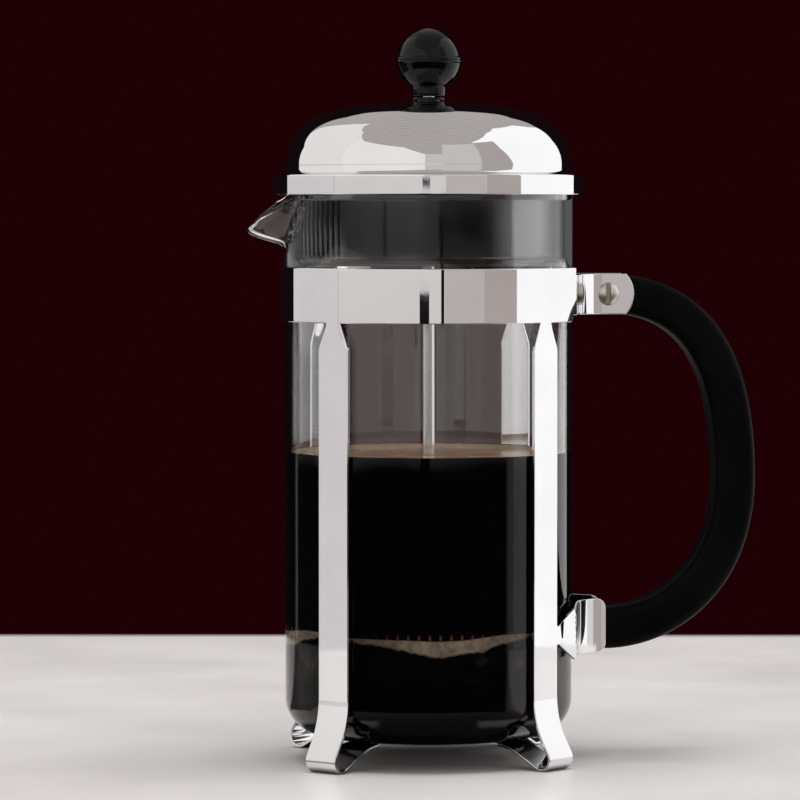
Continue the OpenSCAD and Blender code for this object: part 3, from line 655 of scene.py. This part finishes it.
# ---- beaker
def beaker_surface():
    """Glass as rows up the outer face, over the rim, and down the inner face.

    Round the axis the wall is R; towards the spout each column leaves the wall
    at a height that climbs with the angle and leans out to the lip, whose line
    runs from the spout's tip to the rim. The inner face is the outer one moved
    in along its own normal by the wall's thickness.
    """
    near = np.radians(np.arange(-38, 38.01, 0.6))
    far = np.radians(np.arange(40.5, 319.6, 2.5))
    theta = np.concatenate([near, far])
    spout_a = math.radians(27)
    tip_r = -glass_low[0] - 0.1
    reach_x, reach_y = tip_r - GLASS_R * math.cos(spout_a), GLASS_R * math.sin(spout_a)
    turn = np.abs((theta + np.pi) % TAU - np.pi)
    soft = 0.13
    q = np.sin(np.minimum(turn, 1.2)) / math.sin(spout_a)
    q = (np.hypot(q, soft) - soft) / (math.hypot(1, soft) - soft)
    tan_q = q * reach_y / np.maximum(tip_r - reach_x * q, 1)
    line_r = np.where(q < 1.35, (tip_r - reach_x * q) * np.sqrt(1 + tan_q**2), 0)
    rim_r = GLASS_R + RIM_FLARE
    lip_r = np.where(q < 1.35, soft_max(line_r, rim_r, 0.8), rim_r)
    lip_x = np.minimum(lip_r * np.cos(turn), tip_r)
    lip_line = [42.6, 44.2, 48.4, 52.0, 60.4, 61.9], [RIM_Z, 193.3, 188.9, 186.1, 180.25, 179.5]
    lip_z = np.where(q < 1.3, np.interp(lip_x, *lip_line), RIM_Z)
    kernel = np.hanning(9) / np.hanning(9).sum()
    order = len(near)
    lip_z[4 : order - 4] = np.convolve(lip_z[:order], kernel, "valid")
    lip_z -= GLASS_T / 2
    start, spout_foot = 163.0, 173.8
    root_z = spout_foot + (RIM_Z - 1.0 - spout_foot) * np.minimum(q, 1.0)

    # rows below the spout are the same for every column
    floor_r = np.linspace(0, GLASS_R - CORNER_R, 9)[:-1]
    bend = arc(GLASS_R - CORNER_R, GLASS_Z + CORNER_R, CORNER_R, -90, 0, 15)
    wall = np.linspace(GLASS_Z + CORNER_R, start, 12)[1:-1]
    low = np.concatenate([
        np.stack([floor_r, np.full(8, GLASS_Z)], 1), bend,
        np.stack([np.full(len(wall), GLASS_R), wall], 1),
    ])
    v = 1 - (1 - np.linspace(0, 1, 46)) ** 1.15
    z = start + (lip_z - start)[:, None] * v
    t = (z - root_z[:, None]) / np.maximum(lip_z - root_z, 0.8)[:, None]
    t_soft = np.minimum(soft_max(t, 0, 0.16) / soft_max(1, 0, 0.16), 1.0)
    power = 1 + 0.9 * np.exp(-((q / 0.22) ** 2))[:, None]
    lean = 1 - (1 - t_soft) ** power
    flare = ease((z - (RIM_Z - 5.4)) / 4.8)
    blend = ease((q - 0.78) / 0.3)[:, None]
    r = GLASS_R + (lip_r - GLASS_R)[:, None] * (lean * (1 - blend) + flare * blend)
    rr = np.concatenate([np.tile(low[:, 0], (len(theta), 1)), r], 1)
    zz = np.concatenate([np.tile(low[:, 1], (len(theta), 1)), z], 1)
    phi = np.pi + theta
    outer = np.stack([rr * np.cos(phi)[:, None], rr * np.sin(phi)[:, None], zz], -1)
    up = np.gradient(outer, axis=1)
    up /= np.linalg.norm(up, axis=-1, keepdims=True) + 1e-12
    round_ = np.roll(outer, -1, 0) - np.roll(outer, 1, 0)
    round_[:, 0] = np.stack([-np.sin(phi), np.cos(phi), 0 * phi], 1)
    n = unit(np.cross(unit(round_), up))
    inner = outer - GLASS_T * n
    rim_turn = np.radians(np.linspace(0, 180, 9))[1:-1]
    mid = 0.5 * (outer[:, -1] + inner[:, -1])
    c, s = polar(rim_turn).T[:, :, None]
    rim = mid[:, None] + (GLASS_T / 2) * (c * n[:, -1:] + s * up[:, -1:])
    return sheet(np.concatenate([outer, rim, inner[:, ::-1]], 1), True)


add_piece("beaker_glass", "beaker", glass, [beaker_surface()], ("beaker",), sharp=50)


# ---- handle
def cubic(p, t):
    """Point and direction on the cubic curve of four control points."""
    p, t = np.asarray(p, float), t[:, None]
    s = 1 - t
    at = s**3 * p[0] + 3 * s * s * t * p[1] + 3 * s * t * t * p[2] + t**3 * p[3]
    way = s * s * (p[1] - p[0]) + 2 * s * t * (p[2] - p[1]) + t * t * (p[3] - p[2])
    return at, way


def handle_surface():
    """A rounded-square section carried down the handle's curve, with softened ends.

    The section is |x/a|^4 + |y/b|^4 = 1; a swells from the ends to the grip,
    and b widens once the handle has left its ears.
    """
    end_x, start_x, reach, mid_z = 51.55, 60.0, 103.9, 95.0
    top, low = EAR_Z, WING_Z
    depth = reach - start_x
    upper = [
        (start_x, top), (start_x + 0.79 * depth, top), (reach, mid_z + 0.54 * (top - mid_z)), (reach, mid_z),
    ]
    lower = [
        (reach, mid_z), (reach, mid_z - 0.71 * (mid_z - low)), (start_x + 0.425 * depth, low), (start_x, low),
    ]
    t = np.linspace(0, 1, 61)
    a, da = cubic(upper, t)
    b, db = cubic(lower, t[1:])
    ends = np.array([0.0, 0.08, 0.3, 0.75, 2.5, 5.0])
    first = np.stack([end_x + ends, np.full(6, top)], 1)
    last = np.stack([end_x + ends[::-1], np.full(6, low)], 1)
    at = np.concatenate([first, a, b, last])
    way = np.concatenate([np.tile([1.0, 0], (6, 1)), da, db, np.tile([-1.0, 0], (6, 1))])
    s = np.concatenate([np.zeros(6), t, 1 + t[1:], np.full(6, 2.0)])
    half_t = 6.7 + 0.6 * np.sin(np.pi / 2 * np.minimum(s, 1.6 - 0.3 * s))
    half_w = 6.1 + 1.4 * ease((s - 0.13) / 0.25) * ease((1.95 - s) / 0.25)
    edge = 0.75
    d = np.minimum(np.r_[ends, np.full(len(s) - 12, 5.0), ends[::-1]], edge) / edge
    shrink = edge * (1 - np.sqrt(1 - (1 - d) ** 2))
    half_t, half_w = half_t - shrink, half_w - shrink
    way = unit(way)
    c = np.linspace(0, TAU, 64, endpoint=False)
    u, v = (np.sign(polar(c)) * np.abs(polar(c)) ** 0.5).T
    across = np.outer(half_t, u)
    p = np.stack([
        at[:, :1] - way[:, 1:] * across, np.outer(half_w, v), at[:, 1:] + way[:, :1] * across,
    ], -1)
    sheets = [sheet(p, False, True)]
    for ring in (p[0], p[-1]):
        centre = ring.mean(0)
        sheets.append(sheet(centre + np.linspace(1, 0, 4)[:, None, None] * (ring - centre), False, True))
    return sheets


add_piece("handle_moulding", "frame", satin_black, handle_surface(), ("handle",), sharp=60)


# ---- lid
def dome_outline():
    """Crown and shoulder arcs, a small hollow at the foot, the ledge, and the rim ring."""
    rim_r = dome_high[0]
    foot_r = rim_r - 4.3
    crown_r, shoulder_r, hole_r, t = 150, 18, 3.98, 0.8
    crown_z = dome_high[2] - crown_r
    x = foot_r - shoulder_r
    z = crown_z + math.sqrt((crown_r - shoulder_r) ** 2 - x * x)
    tilt = math.degrees(math.asin(x / (crown_r - shoulder_r)))
    hole = math.degrees(math.asin(hole_r / crown_r))
    outside = np.concatenate([
        arc(0, crown_z, crown_r, 90 - hole, 90 - tilt, 24)[:-1],
        arc(x, z, shoulder_r, 90 - tilt, 0, 40),
    ])
    ledge = rounded([
        (foot_r, z - 0.2), (foot_r, LEDGE_Z + 0.1), (rim_r, LEDGE_Z), (rim_r, LEDGE_Z - 0.75),
        (rim_r, dome_low[2] + 0.35), (rim_r, dome_low[2]),
        (rim_r - t, dome_low[2]), (rim_r - t, LEDGE_Z - t), (foot_r - t, LEDGE_Z - t), (foot_r - t, z),
    ], [0, 1.5, 0.65, 0, 0, 0.25, 0.25, 0.3, 0.8, 0])
    inside = np.concatenate([
        arc(x, z, shoulder_r - t, 0, 90 - tilt, 28)[1:],
        arc(0, crown_z, crown_r - t, 90 - tilt, 90 - hole, 12)[1:],
    ])
    return np.concatenate([outside, ledge, inside])


add_piece("lid_dome_sheet", "lid", chrome, [turned(dome_outline(), 240)], ("lid_dome",))


# ---- knob
def knob_outlines():
    """Lower shell with its neck and upper shell, which meet at the ring round the ball."""
    r, ring_r, neck, bore, wall = 10.8, 10.8 + 0.5, 5.7, 3.45, 2.4
    a = math.degrees(math.acos(neck / r))
    ring_low = math.degrees(math.asin(1.0 / r))
    neck_top = KNOB_Z + r * math.sin(math.radians(-a)) - 0.5
    lower = np.concatenate([
        rounded([
            (bore, KNOB_Z), (bore, NECK_Z), (neck - 0.15, NECK_Z), (neck, neck_top),
        ], [0, 0, 0.4, 0]),
        arc(0, KNOB_Z, r, -a + 3, -ring_low - 0.6, 36),
        rounded([
            (r + 0.1, KNOB_Z - 1.0), (ring_r, KNOB_Z - 0.75), (ring_r, KNOB_Z - 0.06), (ring_r - 0.25, KNOB_Z),
        ], [0, 0.25, 0.05, 0]),
    ])
    upper = np.concatenate([
        rounded([
            (r - wall, KNOB_Z), (ring_r - 0.25, KNOB_Z), (ring_r, KNOB_Z + 0.06), (ring_r, KNOB_Z + 0.75),
            (r + 0.1, KNOB_Z + 1.0),
        ], [0, 0, 0.05, 0.25, 0]),
        arc(0, KNOB_Z, r, ring_low + 0.6, 90, 40),
        arc(0, KNOB_Z, r - wall, 90, 0, 20),
    ])
    return lower, upper


for name, outline, node_name in zip(
    ("knob_lower_shell", "knob_upper_shell"), knob_outlines(), ("knob_base", "knob_cap"),
):
    add_piece(name, "plunger", gloss_black, [turned(outline, 96)], (node_name,))


# ---- clamp screw
def screw_surface():
    """A domed head with a straight slot, on a plain shank.

    The head is a disc of columns that stand beside the slot; its height is a
    cap of a sphere with a softened edge, less the slot's depth between its walls.
    """
    x0, z0 = (screw_low[0] + screw_high[0]) / 2, (screw_low[2] + screw_high[2]) / 2
    r, h = (screw_high[0] - screw_low[0]) / 2, 1.9
    y0 = screw_low[1] + h
    wall, floor, edge = 0.85, 0.75, 0.5
    beside = np.cos(np.linspace(0, math.acos((wall + 0.12) / r), 22))
    x = np.concatenate([-r * beside, [-wall, -wall + 0.05, -0.3, 0.3, wall - 0.05, wall], r * beside[::-1]])
    v = np.sin(np.linspace(-np.pi / 2, np.pi / 2, 41))
    px = np.repeat(x[:, None], 41, 1)
    pz = np.sqrt(np.maximum(r * r - x * x, 0))[:, None] * v
    rho = np.sqrt(px**2 + pz**2)
    ball = (r * r + (h - edge) ** 2) / (2 * (h - edge))
    cap = np.sqrt(np.maximum(ball**2 - rho**2, 0)) - (ball - (h - edge))
    cap = cap + edge * np.sqrt(np.maximum(1 - np.clip((rho - r + edge) / edge, 0, 1) ** 2, 0))
    height = np.where(np.abs(px) < wall - 0.02, np.minimum(cap, floor), cap)
    head = np.stack([x0 + px, y0 - height, z0 + pz], -1)
    back = np.stack([x0 + px, np.full_like(px, y0), z0 + pz], -1)
    sides = [np.stack([head[:, k], back[:, k]], 1) for k in (0, -1)]
    end = screw_high[1]
    rr, yy = rounded([(0, y0), (2.0, y0), (2.0, end), (0, end)], [0, 0, 0.4, 0]).T
    a = np.linspace(0, TAU, 40, endpoint=False)
    shank = np.stack([x0 + np.outer(np.cos(a), rr), np.tile(yy, (40, 1)), z0 + np.outer(np.sin(a), rr)], -1)
    return [*map(sheet, (head, back, *sides)), sheet(shank, True)]


screw = add_piece("slotted_screw", "frame", nickel, screw_surface(), ("clamp_screw",), sharp=40)
middle = MM * (screw_low[0] + screw_high[0]) / 2
front = MM * (screw_low[1] + 1.8)
second_finish(screw, slot_nickel, lambda f: abs(f.center.x - middle) < 0.84 * MM and f.center.y < front)


# ---- edge spring
def spring_surface():
    """Wire wound round a ring: angle b runs round the ring, and COIL_TURNS times b round the coil."""
    wire, ring = 0.3, 44.2
    coil = 1.9 - wire
    b = np.linspace(0, TAU, COIL_TURNS * 16, endpoint=False)
    w = COIL_TURNS * b

    def line(b, w):
        reach = ring + coil * np.cos(w)
        return np.stack([reach * np.cos(b), reach * np.sin(b), FILTER_Z + coil * np.sin(w)], -1)

    at = line(b, w)
    e = 1e-5
    way = unit(line(b + e, w + COIL_TURNS * e) - line(b - e, w - COIL_TURNS * e))
    out = at - np.stack([ring * np.cos(b), ring * np.sin(b), np.full_like(b, FILTER_Z)], -1)
    out = unit(out - (out * way).sum(1, keepdims=True) * way)
    side = np.cross(way, out)
    c, s = polar(np.linspace(0, TAU, 6, endpoint=False)).T[:, :, None]
    return sheet(at[:, None] + wire * (c * out[:, None] + s * side[:, None]), True, True)


add_piece("coil_spring", "plunger", plate_steel, [spring_surface()], ("edge_spring",), sharp=80)


# ---- coffee
def by_turn(x, y, stops):
    """A number by angle round the glass, joined straight between stops and repeated each quarter turn."""
    turn = calc("DEGREES", calc("ARCTAN2", y, x))
    part = calc("FRACT", (turn + (FRONT_TURN - QUARTER_FROM + 360.0)) / 90.0)
    return ramp(part, [((at - QUARTER_FROM) / 90.0, value) for at, value in stops])


def coffee_side_finish():
    """Near-black coffee behind the glass: foam at the filter with painted light on it, painted glints where the turns
    of the spring lie in it, grounds below it with painted glints among them.
    """
    finish, shader, place = new_finish("coffee_side")
    x, y, z = axes(place)

    def up_to(edge, soft):
        """1 below an edge given in metres of height over FOAM_Z, 0 above it."""
        return spread(edge + FOAM_Z - z, 0, 1, -soft, soft)

    def height(stops):
        """An edge for up_to, by turn, from heights in millimetres."""
        return by_turn(x, y, [(at, (mm - 1000 * FOAM_Z) / 10) for at, mm in stops]) * 0.01

    ragged = noise(place, 420, 4)
    top = height([
        (-37, 44.0), (-30.7, 44.4), (-10.8, 44.3), (5.4, 43.9), (13.7, 44.2), (22.4, 44.9), (31.2, 45.6),
        (47, 45.5), (53, 44.0),
    ])
    low = height([
        (-37, 43.2), (-23.8, 42.6), (-15, 41.9), (-7, 40.4), (2.9, 38.7), (13.7, 39.7), (22.4, 40.5),
        (29.3, 42.4), (41.4, 43.9), (47.2, 45.1), (53, 43.2),
    ])
    foam = up_to(top, 0.0002) * (1.0 - up_to(low + (ragged - 0.5) * 0.0022, 0.0004))
    # painted glints where the turns of the spring lie, drawn on the coffee at the glass
    spring_glint = spread(calc("COSINE", calc("ARCTAN2", y, x) * COIL_TURNS), 0, 1, 0.55, 0.95)
    spring_glint *= by_turn(x, y, [
        (-37, 0), (-22, 0.1), (-8, 0.7), (0, 1), (14, 1), (26, 0.5), (38, 0.2), (45, 0), (53, 0),
    ])
    spring_glint *= between(z, 0.0442, 0.0458, 0.0005)
    # grounds: brown specks under the filter, and pale specks among them that are painted glints
    grounds = spread(noise(place, 130, 3), 0, 1, 0.42, 0.6) * between(z, 0.031, 0.0385, 0.002)
    grounds *= by_turn(x, y, [(-37, 0.1), (8, 0.1), (24, 1), (44, 1), (53, 0.1)])
    ground_glint = spread(noise(place, 2400, 1), 0, 1, 0.66, 0.74) * grounds
    # painted light: the foam is painted lighter towards the front and darker towards the sides, by turn round the
    # glass
    lit = by_turn(x, y, [(-37, 0.42), (-20, 0.5), (-4, 0.95), (16, 1), (30, 0.7), (44, 0.6), (53, 0.42)]) * 2.0
    lit_froth = scaled(laid((0.15, 0.118, 0.088), spread(ragged, 0, 1), (0.33, 0.265, 0.20)), lit)
    colour = laid((0.0040, 0.0036, 0.0036), grounds, (0.034, 0.026, 0.023))
    # painted glints on the grounds and of the spring, and the foam with its painted light, are laid over the coffee's
    # colour
    for factor, tone in (ground_glint, (0.32, 0.28, 0.25)), (foam, lit_froth), (spring_glint, (0.26, 0.10, 0.05)):
        colour = laid(colour, factor, tone)
    feed(shader, {"Base Color": colour, "Roughness": spread(ragged, 0.5, 0.8), "Specular IOR Level": 0})
    bump(shader, ragged * foam, 0.0003)
    return finish


def coffee_top_finish():
    """The open surface: a thin tan film that thickens towards the glass, its tan painted brighter than the film
    itself as painted sheen.
    """
    finish, shader, place = new_finish("coffee_top")
    x, y, _ = axes(place)
    patch = noise(place, 60, 4)
    film = patch * 0.5 + spread(calc("SQRT", x * x + y * y), 0.1, 0.7, 0.020, 0.0455)
    # partly painted light: the film's real tan is raised near white so that it stands in for the sheen on the surface
    feed(shader, {
        "Base Color": laid((1.0, 0.44, 0.20), film, (1.0, 0.68, 0.42)),
        "Roughness": spread(patch, 0.15, 0.35),
        "Specular IOR Level": 0.3,
    })
    bump(shader, noise(place, 180, 2), 0.0001)
    return finish


def coffee_outline():
    """Just into the glass, so that no air shows between; its surface is drawn up at the wall and at the rod."""
    inside = GLASS_T - 0.1
    r, corner, floor = GLASS_R - inside, CORNER_R - inside, GLASS_Z + inside
    across = np.concatenate([r - np.linspace(0, 5, 16), np.linspace(40, 6, 14), np.linspace(5.4, 2.2, 9), [1.2, 0.0]])
    rise = 1.5 * np.exp(-(r - across) / 1.1) + 0.8 * np.exp(-np.abs(across - 2.1) / 0.9)
    wall = np.linspace(floor + corner, COFFEE_Z, 30)[1:-1]
    return np.concatenate([
        np.stack([np.linspace(0, r - corner, 8)[:-1], np.full(7, floor)], 1),
        arc(r - corner, floor + corner, corner, -90, 0, 14),
        np.stack([np.full(28, r), wall], 1),
        np.stack([across, COFFEE_Z + rise], 1),
    ])


coffee_fill = add_piece(
    "coffee_fill", "beaker", coffee_side_finish(), [turned(coffee_outline(), 144, False)], sharp=60,
)
second_finish(coffee_fill, coffee_top_finish(), lambda f: f.normal.z > 0.2)


# ---- finishes on the CAD nodes
for name, finish in {
    "clamp_nut": nickel, "rod_bush": gloss_black, "bush_nut": nickel, "lid_insert": insert_black,
    "plunger_rod": steel, "rod_collar": plate_steel, "spiral_plate": plate_steel, "filter_mesh": woven,
    "cross_plate": plate_steel, "hub_nut": plate_steel, "knob_insert": brass,
}.items():
    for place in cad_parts[name].material_slots:
        place.material = finish


# ---- floor, light
def ray_path(owner):
    """What is known of a ray and its way so far, by name."""
    return outputs(node(owner, "LightPath"))


def sees_backdrop(owner):
    """1 for a straight look, also one through glass, and 0 once a surface has reflected or scattered it."""
    path = ray_path(owner)
    look = largest(path["Is Camera Ray"], path["Is Transmission Ray"])
    return look * calc("LESS_THAN", path["Glossy Depth"] + path["Diffuse Depth"], 0.5)


def from_front(vector):
    """Its x, y and z once x points from the press to the camera's side, and its degrees round Z from there."""
    x, y, z = axes(node(
        vector.owner, "VectorRotate", {"Vector": vector, "Angle": math.radians(FRONT_TURN)}, rotation_type="Z_AXIS",
    ))
    return x, y, z, calc("DEGREES", calc("ARCTAN2", y, x))


def floor_finish():
    """A table of pale stone; past its straight edges a straight look meets the backdrop.

    In reflections the light tent hides the far stone, and the stone under the
    press, in front of it and at its left is painted dark, as painted shade.
    """
    finish, shader, place = new_finish("pale_floor")
    x, y, _, turn = from_front(place)
    far = node(finish, "VectorMath", {0: place}, 1, operation="LENGTH")
    look = sees_backdrop(finish)
    glossy = ray_path(finish)["Is Glossy Ray"] * (1.0 - look)
    front = between(turn, -62, 62, 2.0)
    # painted shade: for reflected rays the stone near the press, in front of it and at its left is painted near black
    shade = glossy * largest(
        front * spread(far, 0, 1, 0.067, 0.071),
        between(turn, -130, -88, 1.0) * spread(far, 0, 1, 0.09, 0.10),
        between(turn, -28, 28, 2.0),
        spread(far, 1, 0, 0.053, 0.058),
    )
    stone = laid((0.745, 0.72, 0.71), spread(noise(place, 5, 4), 0, 1), (0.82, 0.80, 0.79))
    feed(shader, {
        "Base Color": laid(stone, shade, (0.07, 0.066, 0.065)),
        "Roughness": spread(noise(place, 14, 3), 0.32, 0.45),
    })
    bump(shader, noise(place, 160, 3), 0.0001)
    span = largest(calc("ABSOLUTE", x), calc("ABSOLUTE", y) - 0.1)  # the table is wider than deep
    past = look * spread(span, 0, 1, TABLE_R - 0.008, TABLE_R + 0.008)
    hidden = glossy * spread(far - (0.45 - front * 0.32), 0, 1, -0.01, 0.01)
    stone_or_wall = node(finish, "MixShader", {
        0: past, 1: Flow(finish, shader.outputs[0]), 2: node(finish, "Emission", {0: BACKDROP}),
    })
    surface = node(finish, "MixShader", {0: hidden, 1: stone_or_wall, 2: node(finish, "BsdfTransparent")})
    feed(finish.node_tree.nodes["Material Output"], {0: surface})
    return finish


def floor_disc():
    """A flat disc as rings of growing radius."""
    r = np.linspace(0, 720, 13)
    points, faces = turned(np.stack([r, 0 * r], 1), 96, False)
    mesh = bpy.data.meshes.new("floor")
    mesh.from_pydata((points * MM).tolist(), [], faces.tolist())
    bm = bmesh.new()
    bm.from_mesh(mesh)
    bmesh.ops.remove_doubles(bm, verts=bm.verts, dist=1e-6)
    bmesh.ops.dissolve_degenerate(bm, edges=bm.edges, dist=1e-7)
    bm.to_mesh(mesh)
    bm.free()
    mesh.materials.append(floor_finish())
    floor = bpy.data.objects.new("floor", mesh)
    bpy.context.collection.objects.link(floor)


def studio_world():
    """A light tent of pale cloth open at the back, where the dark wall stands.

    turn is the direction's angle round Z from the camera's side of the press,
    positive to the right, and rise its angle above level. Cards stand on the
    table all round up to a height that changes with turn, a slatted ceiling
    closes the tent, and a narrow gap in front is where the camera looks in.
    """
    world = bpy.data.worlds.new("studio")
    bpy.context.scene.world = world
    world.use_nodes = True
    x, _, z, turn = from_front(node(world, "TexCoord", output="Generated"))
    rise = calc("DEGREES", calc("ARCSINE", z))

    def all_round(stops, crisp=False):
        """Numbers or colours by turn."""
        return ramp(turn / 360.0 + 0.5, [((at + 180) / 360, level) for at, level in stops], crisp)

    def under(*stops):
        """1 below an edge whose degrees above level go by turn."""
        edge = all_round([(at, (height + 90) / 180) for at, height in stops]) * 180.0 - 90.0
        return spread(edge - rise, 0, 1, -0.5, 0.5)

    def below(low, high):
        """1 below low, falling to 0 at high."""
        return spread(rise, 1, 0, low, high)

    # slats run left to right; seen from below they lie at even steps of forward over up
    slats = spread(calc("SINE", x / calc("MAXIMUM", z, 0.05) * (TAU / 0.115)), 0, 1, 0.2, 0.9)
    colour = laid((0.49, 0.46, 0.44), slats, (0.345, 0.32, 0.305))
    # cards of two heights behind each other
    low_cards = all_round([
        (-180, (0.70, 0.66, 0.66)), (-75.5, (0.60, 0.57, 0.57)), (-74.5, (0.72, 0.685, 0.68)),
        (-34, (0.73, 0.69, 0.685)), (11.5, (0.53, 0.49, 0.49)), (43, (0.453, 0.395, 0.378)),
    ], crisp=True)
    high_cards = all_round([
        (-180, (0.86, 0.83, 0.81)), (-75, (0.91, 0.885, 0.87)), (-3, (0.62, 0.59, 0.58)), (43, (0.44, 0.40, 0.385)),
    ], crisp=True)
    above_low = spread(rise, 0, 1, 0.6, 1.6)
    tops = under(
        (-180, -90), (-143.5, -90), (-143, 27), (-141.6, 35.2), (-126, 62), (-87, 55), (-66, 42), (-22, 34),
        (-3.3, 20), (11.5, 20), (12.5, 40), (43, 40), (43.5, -90), (180, -90),
    )
    # the bright card on the right, and the brown one in front of it, whose far edge leans
    bright = between(turn, 43, 147.5) * under(
        (-180, 43), (42.8, 43), (75, 56.6), (102.8, 59.4), (131, 49), (136.6, 38.9), (143, 33), (180, 33),
    )
    lean = calc("MINIMUM", calc("MAXIMUM", rise, 0.0), 28.0) * 0.25
    brown = spread(turn, 0, 1, 42.6, 43.4) * spread(72.0 - lean - turn, 0, 1, -0.4, 0.4) * below(41.5, 42.5)
    # the dark wall behind, under the ceiling's back edge
    walls = under(
        (-180, 27), (-175, 29.6), (-167, 36), (-160, 38.5), (-150.6, 33), (-142.8, 26.8), (-129, 16), (-128.5, -90),
        (135.5, -90), (136, 19.7), (143.2, 33.8), (157, 40.6), (173.8, 33.5), (180, 27),
    )
    beside = between(turn, 120, 147.5) * below(-0.75, -0.65)
    # a seam between the low and the high cards, which glass and what stands in it show
    seam = all_round([
        (-180, 0.08), (-113, 0.08), (-97, 0.043), (-83, 0.030), (-70, 0.047), (-48, 0.064), (-37.5, 0.06),
        (-36.8, 0.012), (-34.6, 0.012), (-34, 0.062), (-28, 0.072), (-8, 0.072), (1, 0.052), (8, 0.045),
        (8.6, 0.004), (11.5, 0.012), (41, 0.012), (52, 0.035), (64, 0.2), (72, 0.3), (73.5, 0.78), (101, 0.76),
        (110, 0.5), (119, 0.28), (135, 0.2), (137, 0.04), (180, 0.04),
    ])
    path = ray_path(world)
    clear = largest(path["Is Singular Ray"], calc("GREATER_THAN", path["Transmission Depth"], 0.5))
    # the dark room under the tent's front edge with a small pale card in it, and the gap and a fold in front
    plate = between(turn, 24.0, 80.0, 0.1) * between(rise, -6.2, -4.8, 0.05) * (1.0 - path["Is Singular Ray"])
    room = between(turn, -66, 66, 2.0) * below(-3.3, -2.9) * (1.0 - plate)
    slit = between(turn, -6.8, 0.5, 0.2) * below(-1.11, -1.07)
    fold = between(turn, 9.6, 12.0, 0.2) * between(rise, -1.7, 0.12, 0.03)
    lens = between(turn, -4.4, 1.2, 0.2) * between(rise, 0.25, 0.37, 0.01)
    left = between(turn, -130, -88)
    for factor, tone in (
        (tops, laid(low_cards, above_low, high_cards)),
        (bright, (1.13, 1.13, 1.13)),
        (brown, laid((0.453, 0.395, 0.378), above_low, (0.44, 0.40, 0.385))),
        (walls * (1.0 - beside), (0.006, 0.003, 0.004)),
        (clear * between(rise, -0.74, 0.2, 0.03), scaled(seam, 2.5)),
        # the foot of the card at the far left lies in shade
        (between(turn, -134, -104, 2.0) * below(-2.0, -1.7), (0.33, 0.31, 0.31)),
        # the table beyond the cards' feet, darker at the left and paler at the right
        (left * below(-3.3, -2.9), (0.012, 0.010, 0.011)),
        (left * below(-8.0, -5.5), (0.09, 0.08, 0.08)),
        (between(turn, 72, 96) * below(-3.4, -3.0), (0.75, 0.73, 0.72)),
        (largest(slit, fold, lens, room), (0.008, 0.006, 0.007)),
        (sees_backdrop(world), BACKDROP),
    ):
        colour = laid(colour, factor, tone)
    feed(world.node_tree.nodes["Background"], {0: colour})


def overhead_lamp():
    """A broad lamp above that fills the shadows and doesn't show in gloss."""
    lamp = bpy.data.lights.new("overhead", "AREA")
    lamp.shape, lamp.size, lamp.energy = "DISK", 1.3, 21
    holder = bpy.data.objects.new("overhead", lamp)
    holder.location = (0.1, -0.15, 1.7)
    holder.rotation_euler = (math.radians(-12), math.radians(3), 0)
    holder.visible_glossy = holder.visible_camera = False
    bpy.context.collection.objects.link(holder)


floor_disc()
studio_world()
overhead_lamp()

bpy.context.scene.view_settings.view_transform = "Standard"
